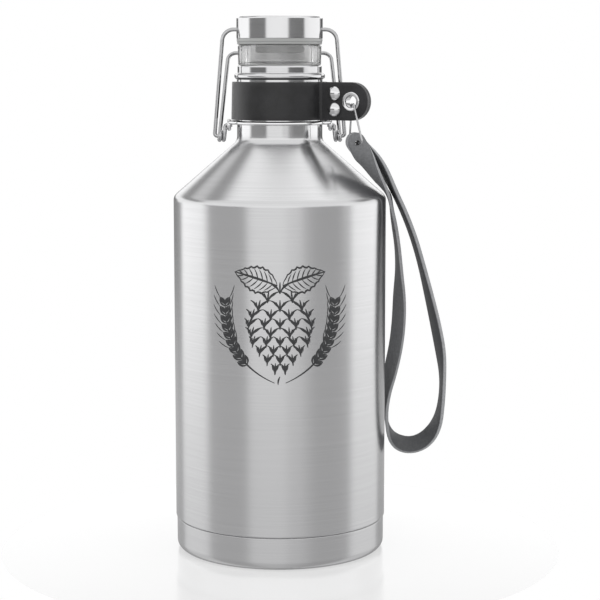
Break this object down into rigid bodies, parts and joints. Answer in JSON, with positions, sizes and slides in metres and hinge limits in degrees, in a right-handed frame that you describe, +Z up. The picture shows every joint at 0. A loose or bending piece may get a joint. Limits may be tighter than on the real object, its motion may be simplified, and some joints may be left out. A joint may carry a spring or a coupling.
{
  "type": "growler",
  "caption": "Double-wall steel growler with a swing-top wire closure, a clear pouring ring, a leather neck collar and a hanging wrist strap.",
  "frame": {"origin": "centre of the base, on the surface that the growler stands on", "axes": "+Z up along the bottle's axis, -Y the front, +X the side that the wrist strap hangs on"},
  "size_m": [0.1558, 0.12, 0.302],
  "materials": {
    "brushed_steel": "brushed stainless steel, fine grain round the body",
    "satin_steel": "satin polished stainless steel",
    "inner_steel": "plain drawn stainless steel",
    "wire_steel": "bright drawn stainless wire",
    "polished_metal": "polished nickel plate",
    "seal_metal": "solder and getter metal",
    "clear_plastic": "clear moulded copolyester",
    "stopper_plastic": "translucent moulded polypropylene",
    "silicone": "translucent silicone rubber",
    "collar_leather": "smooth black finished leather",
    "strap_leather": "dark grey leather with a raw lighter edge"
  },
  "bodies": {
    "bottle": {"outer_shell": "brushed_steel", "inner_vessel": "inner_steel", "outer_bottom": "inner_steel", "vacuum_seal": "seal_metal", "getter": "seal_metal", "base_cover": "brushed_steel", "pour_adapter": "clear_plastic", "adapter_seal": "silicone", "adapter_orings": "silicone", "neck_ring": "wire_steel"},
    "lever": {"lever_wire": "wire_steel"},
    "head_bail": {"head_wire": "wire_steel"},
    "stopper": {"cap_shell": "satin_steel", "stopper_core": "stopper_plastic", "stopper_gasket": "silicone"},
    "collar": {"collar_band": "collar_leather", "rivet_caps": "polished_metal", "rivet_posts": "polished_metal", "eyelet": "polished_metal", "eyelet_washer": "polished_metal"},
    "link": {"strap_link": "wire_steel"},
    "strap": {"wrist_strap": "strap_leather"}
  },
  "joints": [
    {"name": "lever_hinge", "type": "hinge", "parent": "bottle", "child": "lever", "pos_m": [0, 0, 0.2418], "axis": [-1, 0, 0], "range_deg": [0, 80]},
    {"name": "head_wire_hinge", "type": "hinge", "parent": "lever", "child": "head_bail", "pos_m": [0, 0, 0.2356], "axis": [-1, 0, 0], "range_deg": [-73.7, 0]},
    {"name": "stopper_hinge", "type": "hinge", "parent": "head_bail", "child": "stopper", "pos_m": [0, 0, 0.2949], "axis": [-1, 0, 0], "range_deg": [-6.5, 0]},
    {"name": "collar_swivel", "type": "hinge", "parent": "bottle", "child": "collar", "pos_m": [0, 0, 0.2554], "axis": [0, 0, 1], "range_deg": [-120, 5]},
    {"name": "link_swing", "type": "hinge", "parent": "collar", "child": "link", "pos_m": [0.04018, -0.0232, 0.2554], "axis": [-0.5, -0.866, 0], "range_deg": [0, 90]},
    {"name": "strap_swing", "type": "hinge", "parent": "link", "child": "strap", "pos_m": [0.04192, -0.0242, 0.2328], "axis": [0.3842, -0.9232, 0], "range_deg": [0, 60]}
  ],
  "couplings": [
    {"joint": "head_wire_hinge", "follows": "lever_hinge", "ratio": -0.92},
    {"joint": "stopper_hinge", "follows": "lever_hinge", "ratio": -0.08}
  ]
}
